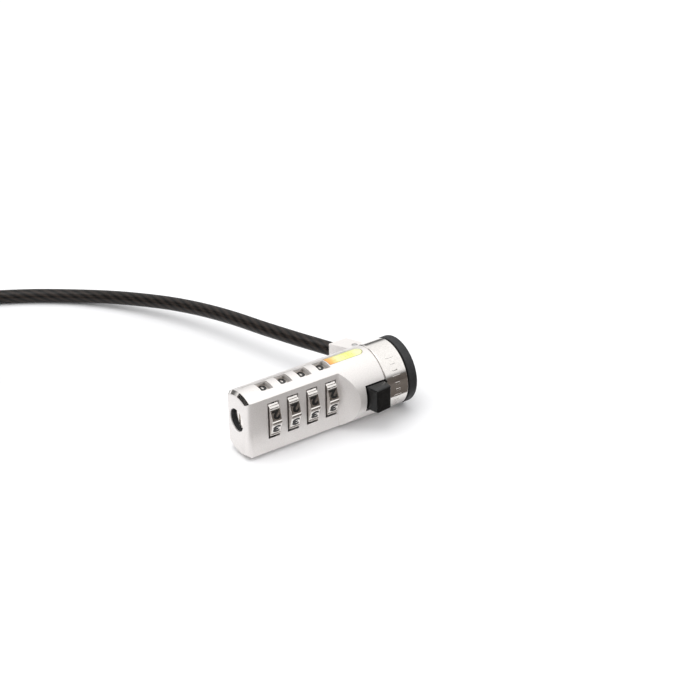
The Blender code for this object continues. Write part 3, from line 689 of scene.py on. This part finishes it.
def tail_points():
    """On the outermost turn, then in over the coil to the crimp."""
    z = COIL_TOP_Z + LIE_GAP + CABLE_D / 2
    inset = COIL_TURN_R - TAIL_BEND_R
    centre = (inset * math.cos(TAIL_LEAVES), inset * math.sin(TAIL_LEAVES))
    line = arc((0, 0), COIL_TURN_R, TAIL_FROM, TAIL_LEAVES, 6)
    line += arc(centre, TAIL_BEND_R, TAIL_LEAVES, TAIL_TO, 20)[1:]
    points = [COIL + Vector((x, y, z)) for x, y in line]
    return points + [points[-1] + tail_direction() * TAIL_STRAIGHT]


def tube_mesh(path, radius, sides=24, caps=True):
    """A tube along a path in the barrel's frame, with U round it and V in metres along it."""
    mesh = bmesh.new()
    layer = mesh.loops.layers.uv.new("cable")
    rings, marks, walked = [], [], 0.0
    side = Vector((0, 0, 1))
    for i, point in enumerate(path):
        ahead = path[min(i + 1, len(path) - 1)] - path[max(i - 1, 0)]
        ahead.normalize()
        side = (side - ahead * side.dot(ahead)).normalized()
        other = ahead.cross(side)
        if i:
            walked += (point - path[i - 1]).length
        marks.append(walked * MM)
        rings.append([mesh.verts.new(point + (side * math.cos(2 * math.pi * k / sides)
                                              + other * math.sin(2 * math.pi * k / sides)) * radius)
                      for k in range(sides)])
    for i in range(len(path) - 1):
        for k in range(sides):
            m = (k + 1) % sides
            face = mesh.faces.new((rings[i][k], rings[i][m], rings[i + 1][m], rings[i + 1][k]))
            for loop, uv in zip(face.loops, ((k, i), (k + 1, i), (k + 1, i + 1), (k, i + 1))):
                loop[layer].uv = (uv[0] / sides, marks[uv[1]])
    if caps:
        mesh.faces.new(rings[0])
        mesh.faces.new(rings[-1])
    return mesh


def cable_line():
    route = [EXIT - EXIT_DIRECTION * 1.2, EXIT] + [Vector(p) for p in CABLE_ROUTE]
    coil = coil_points()
    return evenly(smooth_curve(route, SPACING) + coil + tail_points(), SPACING)


def crimp_frame():
    """Start of the crimp's centre line, its direction and the direction across it."""
    along = tail_direction()
    left = Vector((-along.y, along.x, 0))
    start = tail_points()[-1] + left * LOOP_NECK
    start.z = COIL_TOP_Z + LIE_GAP + CRIMP[2] / 2
    return start, along, left


def crimp():
    start, along, left = crimp_frame()
    """Pressed sleeve with two squeezed bands."""
    mesh = bmesh.new()
    rings = []
    for station, squeeze in CRIMP_BANDS:
        half_w, half_h = CRIMP[1] / 2 - squeeze, CRIMP[2] / 2 - squeeze
        flat = half_w - half_h
        outline = arc((flat, 0), half_h, -math.pi / 2, math.pi / 2, 16)
        outline += arc((-flat, 0), half_h, math.pi / 2, 3 * math.pi / 2, 16)
        centre = start + along * station
        rings.append([mesh.verts.new(centre + left * a + Vector((0, 0, b))) for a, b in outline])
    for here, there in zip(rings, rings[1:]):
        for i in range(len(here)):
            j = (i + 1) % len(here)
            mesh.faces.new((here[i], here[j], there[j], there[i]))
    mesh.faces.new(rings[0])
    mesh.faces.new(rings[-1])
    made = piece("crimp_sleeve", mesh, STEEL, smooth=50)
    finish_piece(made, "cable_anchor", "steel", "loop_crimp")
    return made


def eye():
    """The cable's end turned back on itself into the crimp."""
    start, along, left = crimp_frame()
    origin = start + along * (CRIMP[0] - 1.5)
    origin.z = COIL_TOP_Z + LIE_GAP + CABLE_D / 2
    side = [(0.0, LOOP_NECK), (1.5, LOOP_NECK)]
    for i in range(1, 6):
        share = (i + 0.3) / 6
        side.append((1.8 + LOOP_STRAIGHT * share, LOOP_NECK + (LOOP_R - LOOP_NECK) * ease(share)))
    round_end = arc((LOOP_STRAIGHT + 1.8, 0), LOOP_R, math.pi / 2, -math.pi / 2, 12)
    path = side + round_end + [(s, -w) for s, w in reversed(side)]
    points = smooth_curve([origin + along * s + left * w for s, w in path], SPACING)
    made = piece("cable_eye", tube_mesh(points, CABLE_D / 2), CABLE, smooth=60)
    finish_piece(made, "cable_anchor", "cable_sleeve", "cable_loop")
    return made


def tie():
    """Strap round the coil with rounded bends."""
    inner, outer = COIL_INNER_R - TIE_ROOM, COIL_OUTER_R + TIE_ROOM
    bottom, top, corner = FLOOR_Z + TIE_T, COIL_TOP_Z + 1.1, TIE_CORNER
    line = arc((inner + corner, bottom + corner), corner, -math.pi / 2, -math.pi, 6)
    line += arc((inner + corner, top - corner), corner, math.pi, math.pi / 2, 6)
    line += arc((outer - corner, top - corner), corner, math.pi / 2, 0, 6)
    line += arc((outer - corner, bottom + corner), corner, 0, -math.pi / 2, 6)
    count = len(line)
    mesh = bmesh.new()
    half = TIE_W / 2
    sections = []
    for i, (r, z) in enumerate(line):
        before, after = Vector(line[i - 1]), Vector(line[(i + 1) % count])
        run = (after - before).normalized()
        out = Vector((-run.y, run.x)) * TIE_T
        ring = [(r, -half, z), (r + out.x, -half + 0.15, z + out.y),
                (r + out.x, half - 0.15, z + out.y), (r, half, z)]
        sections.append([mesh.verts.new(p) for p in ring])
    for i in range(count):
        here, there = sections[i], sections[(i + 1) % count]
        for k in range(4):
            m = (k + 1) % 4
            mesh.faces.new((here[k], here[m], there[m], there[k]))
    turn = Matrix.Translation(COIL) @ Matrix.Rotation(TIE_ANGLE, 4, "Z")
    made = piece("coil_strap", mesh, STRAP, smooth=40, matrix=turn)
    finish_piece(made, "cable_anchor", "tie_fabric", "coil_tie")
    return made


def cable():
    line = cable_line()
    made = piece("lock_cable", tube_mesh(line, CABLE_D / 2), CABLE, smooth=60)
    finish_piece(made, "cable_anchor", "cable_sleeve", "cable", "cable_coil", "cable_tail")
    crimp()
    eye()
    tie()


# ---------------------------------------------------------------- housing

def barrel():
    """Full round barrel with its free end chamfered."""
    return turned([(END_X, BARREL_R - END_CHAMFER), (END_X + END_CHAMFER, BARREL_R),
                   (NOSE_X, BARREL_R)], 160, closed=False)


def flat_cutter(side):
    """Removes one flat, which ends in a ramp. side is -1 at the front and 1 at the rear."""
    flat = FLAT_Y[side]
    lean = (RAMP_END_X - FLAT_END_X) / (BARREL_R - flat)
    outline = [(END_X - 1, flat), (FLAT_END_X, flat), (RAMP_END_X + lean, BARREL_R + 1),
               (END_X - 1, BARREL_R + 1)]
    return prism([(x, side * y) for x, y in outline], "Z", -BARREL_R - 1, BARREL_R + 1)


def end_fillet_cutter(side):
    """Rounds the upright edge where a flat meets the free end."""
    radius, flat = END_FILLET[side], FLAT_Y[side]
    centre = (END_X + radius, flat - radius)
    outline = arc(centre, radius * 1.003, math.pi, math.pi / 2, 10)
    outline += [(centre[0], flat + 1), (END_X - 1, flat + 1), (END_X - 1, centre[1])]
    return prism([(x, side * y) for x, y in outline], "Z", -BARREL_R - 1, BARREL_R + 1)


def flat_cutters():
    return [flat_cutter(-1), flat_cutter(1), end_fillet_cutter(-1), end_fillet_cutter(1)]


def dial_x(index):
    return DIAL_FIRST_X + index * DIAL_PITCH


def slot_x(index):
    return dial_x(index) - SLOT_W / 2, dial_x(index) + SLOT_W / 2


def on_dial_axis(start, end, radius, count=48):
    return rod("X", start, end, radius, (DIAL_Y, DIAL_Z), count)


def slot_cutters():
    return [on_dial_axis(*slot_x(i), SLOT_R, 96) for i in range(DIAL_COUNT)]


def spindle_bore():
    return on_dial_axis(*SPINDLE_BORE_X, SPINDLE_BORE_R)


def strip_outline(grow):
    x0, x1 = STRIP_X[0] - grow, STRIP_X[1] + grow - STRIP_ROUND
    y0, y1 = STRIP_Y[0] - grow, STRIP_Y[1] + grow
    round_end = arc((x1, (y0 + y1) / 2), (y1 - y0) / 2, -math.pi / 2, math.pi / 2, 20)
    return [(x0, y1), (x0, y0)] + round_end


def housing():
    tall = (-BARREL_R - 1, BARREL_R + 1)
    cuts = [box((COVER_X[0] - SEAM, COVER_X[1] + SEAM), (SPLIT_Y - SEAM, BARREL_R + 1), tall)]
    cuts += slot_cutters()
    cuts += [box(slot_x(i), TOP_WINDOW_Y, (TOP_WINDOW_Z, BARREL_R + 1)) for i in range(DIAL_COUNT)]
    cuts += [spindle_bore(), on_dial_axis(*SPINDLE_END),
             on_dial_axis(END_X - 1, *RESET_RECESS, 64), on_dial_axis(*RESET_THREAD),
             box(*DETENT_POCKET), box(POCKET_X, (-BARREL_R - 1, POCKET_END_Y), POCKET_Z)]
    cuts += [rod("Y", -0.6, SPLIT_Y + 1, COVER_SCREW_HOLE_R, screw, 24) for screw in COVER_SCREWS]
    cuts += [prism(strip_outline(SEAM), "Z", STRIP_POCKET_Z, BARREL_R + 2)]
    cuts += flat_cutters()
    made = piece("housing_shell", barrel(), SATIN, cuts=cuts, edge=0.14)
    finish_piece(made, "lock_body", "satin_nickel", "front_housing")
    end_bevel()


def end_bevel():
    """Polished skin on the chamfer round the free end."""
    near, far = END_X + 0.15, END_X + END_CHAMFER - 0.1
    profile = [(x, BARREL_R - END_CHAMFER + x - END_X + rise) for x, rise in
               ((near, -BEVEL_LIFT), (near, BEVEL_LIFT), (far, BEVEL_LIFT), (far, -BEVEL_LIFT))]
    made = piece("end_bevel", turned(profile, 160), POLISHED, cuts=flat_cutters())
    finish_piece(made, "lock_body", "bright_nickel")


def back_cover():
    cuts = [flat_cutter(1)] + slot_cutters() + [spindle_bore()]
    sink_y, sink_r = COVER_SCREW_SINK
    for screw in COVER_SCREWS:
        cuts += [rod("Y", 2.0, BARREL_R, COVER_SCREW_HOLE_R, screw, 24),
                 rod("Y", sink_y, BARREL_R, sink_r, screw, 32)]
    keep = [box(COVER_X, (SPLIT_Y + SEAM, BARREL_R + 1), (-BARREL_R - 1, BARREL_R + 1))]
    made = piece("back_cover", barrel(), SATIN, cuts=cuts, keep=keep, edge=0.14)
    finish_piece(made, "lock_body", "satin_nickel", "rear_cover")
    for index, (x, z) in enumerate(COVER_SCREWS):
        slot_cut = box((x - 0.2, x + 0.2), (4.5, 6), (z - 1.5, z + 1.5))
        made = piece(f"back_screw_{index + 1}", rod("Y", *COVER_SCREW_SHANK, (x, z), 24), STEEL,
                     joins=[rod("Y", *COVER_SCREW_HEAD, (x, z), 32)], cuts=[slot_cut], edge=0.1)
        finish_piece(made, "lock_body", "steel", f"cover_screw_{index + 1}")


def strip():
    """Indicator strip flush with the barrel, with four shallow grooves moulded in its top."""
    grooves = [box((x, x + 0.5), (-0.5, 1.6), (BARREL_R - 0.16, BARREL_R + 1)) for x in STRIP_GROOVE_X]
    made = piece("indicator_strip_top", prism(strip_outline(0.0), "Z", STRIP_Z, 12), STRIP,
                 keep=[rod("X", -30, -10, BARREL_R, count=240)], cuts=grooves, edge=0.12)
    finish_piece(made, "lock_body", "yellow_plastic", "indicator_strip")


def reset_screw():
    """Slotted screw head in the free end, with a black rubber ring round it as painted shade in the
    recess.
    """
    head = turned(RESET_HEAD, 96, (DIAL_Y, DIAL_Z), closed=False)
    slot_cut = box((END_X - 1, RESET_SLOT_X), (DIAL_Y - RESET_SLOT_W / 2, DIAL_Y + RESET_SLOT_W / 2),
                   (DIAL_Z - 4, DIAL_Z + 4))
    made = piece("reset_head", head, POLISHED, joins=[on_dial_axis(*RESET_SHANK)],
                 cuts=[slot_cut], edge=0.08)
    finish_piece(made, "reset", "bright_nickel", "reset_screw")
    # Black rubber ring in the recess round the head: painted shade where the recess falls dark, not a
    # real seal.
    section = [(SHADE_RING_X[0], SHADE_RING_R[0]), (SHADE_RING_X[0], SHADE_RING_R[1]),
               (SHADE_RING_X[1], SHADE_RING_R[1]), (SHADE_RING_X[1], SHADE_RING_R[0])]
    made = piece("reset_shade_ring", turned(section, 96, (DIAL_Y, DIAL_Z)), RUBBER, edge=0.04)
    finish_piece(made, "lock_body", "black_rubber")


# ---------------------------------------------------------------- dials

def dial_outline():
    """Ten facets with a raised bar between each two, as (y, z) round the dial's axis."""
    points = []
    half = RIDGE_W / 2
    corner_r = math.hypot(FACET_R, FACET_W / 2)
    corner = corner_r * math.sin(math.pi / DIAL_SIDES - math.atan(FACET_W / 2 / FACET_R))
    for i in range(DIAL_SIDES):
        angle = 2 * math.pi * i / DIAL_SIDES
        for along, radius in ((-corner, corner_r), (-half * 1.3, DIAL_R - RIDGE_H),
                              (-half * 0.8, DIAL_R), (half * 0.8, DIAL_R),
                              (half * 1.3, DIAL_R - RIDGE_H), (corner, corner_r)):
            turn = angle + math.asin(along / radius)
            points.append((DIAL_Y + radius * math.cos(turn), DIAL_Z + radius * math.sin(turn)))
    return points


def digit_mesh(number):
    """One printed digit, DIGIT_H tall, centred and lying in the XY plane."""
    text = bpy.data.curves.new("digit", "FONT")
    text.body = str(number)
    text.size = DIGIT_H / 0.69
    text.offset = 0.2
    text.extrude = 0.03
    text.resolution_u = 6
    holder = bpy.data.objects.new("digit", text)
    bpy.context.collection.objects.link(holder)
    graph = bpy.context.evaluated_depsgraph_get()
    data = bpy.data.meshes.new_from_object(holder.evaluated_get(graph))
    bpy.data.objects.remove(holder)
    mesh = bmesh.new()
    mesh.from_mesh(data)
    bpy.data.meshes.remove(data)
    xs, ys = [v.co.x for v in mesh.verts], [v.co.y for v in mesh.verts]
    middle = Vector(((min(xs) + max(xs)) / 2, (min(ys) + max(ys)) / 2, 0))
    widen = 1.1 if number == 1 else DIGIT_W / (max(xs) - min(xs))
    fit = Matrix.Diagonal((widen, DIGIT_H / (max(ys) - min(ys)), 1, 1))
    bmesh.ops.transform(mesh, matrix=fit @ Matrix.Translation(-middle), verts=mesh.verts)
    return mesh


def digits(index):
    """Zero is on top, and the next digits follow down the front with their tops towards it."""
    facet = FACET_R + 0.02
    placed = []
    for number in range(DIAL_SIDES):
        angle = math.pi / 2 - 2 * math.pi * number / DIAL_SIDES
        out = Vector((0, -math.cos(angle), math.sin(angle)))
        right = Vector((-1, 0, 0))
        up = out.cross(right)
        centre = Vector((dial_x(index), DIAL_Y, DIAL_Z)) + out * facet
        mesh = digit_mesh(number)
        turn = Matrix((right, up, out)).transposed().to_4x4()
        bmesh.ops.transform(mesh, matrix=Matrix.Translation(centre) @ turn, verts=mesh.verts)
        placed.append(mesh)
    return merged(placed)


def dials():
    for i in range(DIAL_COUNT):
        body = f"dial_body_{i + 1}"
        x = dial_x(i)
        bore = on_dial_axis(x - 3, x + 3, DIAL_BORE_R, 64)
        wheel = prism(dial_outline(), "X", x - DIAL_W / 2, x + DIAL_W / 2)
        made = piece(f"dial_wheel_{i + 1}", wheel, POLISHED, cuts=[bore], edge=0.09)
        finish_piece(made, body, "bright_nickel", f"dial_{i + 1}")
        made = piece(f"dial_digits_{i + 1}", digits(i), INK)
        finish_piece(made, body, "bright_nickel")


# ---------------------------------------------------------------- nose

def collar():
    """Polished collar with a plain raised bar pattern round its front."""
    near, far, chamfer = *COLLAR_X, COLLAR_CHAMFER
    profile = [(near, COLLAR_BORE_R), (near, BARREL_R - chamfer), (near + chamfer, BARREL_R),
               (far - chamfer, BARREL_R), (far, BARREL_R - chamfer), (far, COLLAR_BORE_R)]
    lug = [(PIN_X - LUG_R, LUG_Y), (PIN_X + LUG_R, LUG_Y)]
    lug += arc((PIN_X, PIN_Y), LUG_R, 0, math.pi, 24)
    made = piece("collar_band", turned(profile), POLISHED,
                 joins=[prism(lug, "Z", -LUG_HALF_H, LUG_HALF_H)],
                 cuts=[rod("Z", -5, 5, PIN_R + 0.3, (PIN_X, PIN_Y))], edge=0.08)
    finish_piece(made, "lock_body", "bright_nickel", "collar_ring")
    bars = []
    for i in range(COLLAR_BARS):
        angle = math.radians(122 + i * 11.5)
        half = 1.3 if i % 3 == 0 else 0.8
        bar = box((COLLAR_BAR_X - half, COLLAR_BAR_X + half), (BARREL_R - 0.3, BARREL_R + 0.1),
                  (-0.35, 0.35))
        turn = Matrix.Rotation(angle, 4, "X")
        bmesh.ops.transform(bar, matrix=turn, verts=bar.verts)
        bars.append(bar)
    made = piece("collar_bars", merged(bars), POLISHED, edge=0.08)
    finish_piece(made, "lock_body", "bright_nickel")


def bumper():
    profile = [(BUMPER_X, PLATE_R + 0.3), (BUMPER_X, BARREL_R - 0.15), (BUMPER_X + 0.15, BARREL_R)]
    profile += arc((-BUMPER_ROUND, BARREL_R - BUMPER_ROUND), BUMPER_ROUND, math.pi / 2, 0, 6)
    profile += [(0.0, PLATE_R + 0.6), (-0.3, PLATE_R + 0.3)]
    made = piece("rubber_ring", turned(profile, 160), RUBBER, smooth=40)
    finish_piece(made, "lock_body", "black_rubber", "nose_bumper")


def peg_plate():
    pegs = [box(PEG_X, sorted((side * PEG_Y[0], side * PEG_Y[1])), (-PEG_HALF_H, PEG_HALF_H))
            for side in (-1, 1)]
    made = piece("peg_face", rod("X", *PLATE_X, PLATE_R, count=128), STEEL, joins=pegs,
                 cuts=[rod("X", -4, 3, SHAFT_R + 0.3)], edge=0.25, segments=3)
    finish_piece(made, "lock_body", "steel", "peg_plate")


def t_bar():
    """Turning spindle whose bar is rounded at both ends, with its pinion inside the housing."""
    half_l, half_w = TBAR_L / 2, TBAR_W / 2
    bar = arc((0, half_l - half_w), half_w, 0, math.pi, 16)
    bar += arc((0, half_w - half_l), half_w, math.pi, 2 * math.pi, 16)
    made = piece("t_bar", rod("X", *SHAFT_X, SHAFT_R), STEEL,
                 joins=[pinion(), prism(bar, "X", *TBAR_X)], edge=0.12)
    finish_piece(made, "t_bar", "steel", "t_bar_spindle")


def pinion():
    points = []
    for tooth in range(PINION_TEETH):
        middle = math.pi / 2 + 2 * math.pi * tooth / PINION_TEETH
        for side in (-1, 1):
            for radius, width in PINION_TOOTH[::-side]:
                turn = middle + side * math.asin(width / 2 / radius)
                points.append((radius * math.cos(turn), radius * math.sin(turn)))
    return prism(points, "X", *PINION_X)


def button():
    """Gloss cap that narrows towards its front, with softly rounded edges."""
    outline = [(BUTTON_X[0], BUTTON_Y[1]), (BUTTON_X[0], BUTTON_SIDE_Y),
               (BUTTON_TIP_X, BUTTON_Y[0]), (BUTTON_X[1], BUTTON_Y[0] + BUTTON_SET_BACK),
               (BUTTON_X[1], BUTTON_Y[1])]
    made = piece("button_cap", prism(outline, "Z", *BUTTON_Z), GLOSS_BLACK, edge=0.5, segments=4,
                 smooth=50)
    finish_piece(made, "button", "black_plastic", "push_button")


# ---------------------------------------------------------------- anchor

def anchor():
    """Clevis block on its pin, with the cable's bore in its end face."""
    left = PIN_X - (BLOCK_END_Y - PIN_Y) * BLOCK_LEAN - BLOCK_W / 2
    angle = math.atan(BLOCK_LEAN)
    outline = [(left, BLOCK_END_Y)]
    outline += arc((PIN_X, PIN_Y), BLOCK_NOSE_R, math.pi + angle, 2 * math.pi + angle, 28)
    outline += [(left + BLOCK_W, BLOCK_END_Y)]
    turn = Vector((0, 0, 1)).rotation_difference(EXIT_DIRECTION).to_matrix().to_4x4()
    bore = rod("Z", -2.0, 4.0, CABLE_D / 2 + SEAM)
    bmesh.ops.transform(bore, matrix=Matrix.Translation(EXIT) @ turn, verts=bore.verts)
    made = piece("anchor_clevis", prism(outline, "Z", -BLOCK_HALF_H, BLOCK_HALF_H), SATIN,
                 cuts=[box((-20, 5), (5, CLEVIS_Y), (-1.6, 1.6)),
                       rod("Z", -5, 5, PIN_R + SEAM, (PIN_X, PIN_Y), 32), bore], edge=0.2, segments=3)
    finish_piece(made, "cable_anchor", "satin_nickel", "anchor_block")
    made = piece("pivot_pin", rod("Z", -PIN_HALF_L, PIN_HALF_L, PIN_R, (PIN_X, PIN_Y), 32), STEEL,
                 edge=0.12)
    finish_piece(made, "lock_body", "steel", "anchor_pin")


# ---------------------------------------------------------------- pieces kept from the CAD

def inner_pieces():
    """Hidden CAD nodes stay as they are and take a finish."""
    looks = {"nose_core": STEEL, "core_screw_1": STEEL, "core_screw_2": STEEL,
             "spindle_bush": BRASS, "detent_spring": SPRING_STEEL, "button_slider": STEEL,
             "button_spring": SPRING_STEEL, "locking_spindle": STEEL,
             "spindle_spring": SPRING_STEEL, "cable_stop": STEEL}
    looks.update({f"code_sleeve_{i + 1}": BRASS for i in range(DIAL_COUNT)})
    for name, material in looks.items():
        shown = frame["nodes"][name]
        shown.data.materials.clear()
        shown.data.materials.append(material)


camera()
studio()
cable()
housing()
back_cover()
strip()
reset_screw()
dials()
collar()
bumper()
peg_plate()
t_bar()
button()
anchor()
inner_pieces()
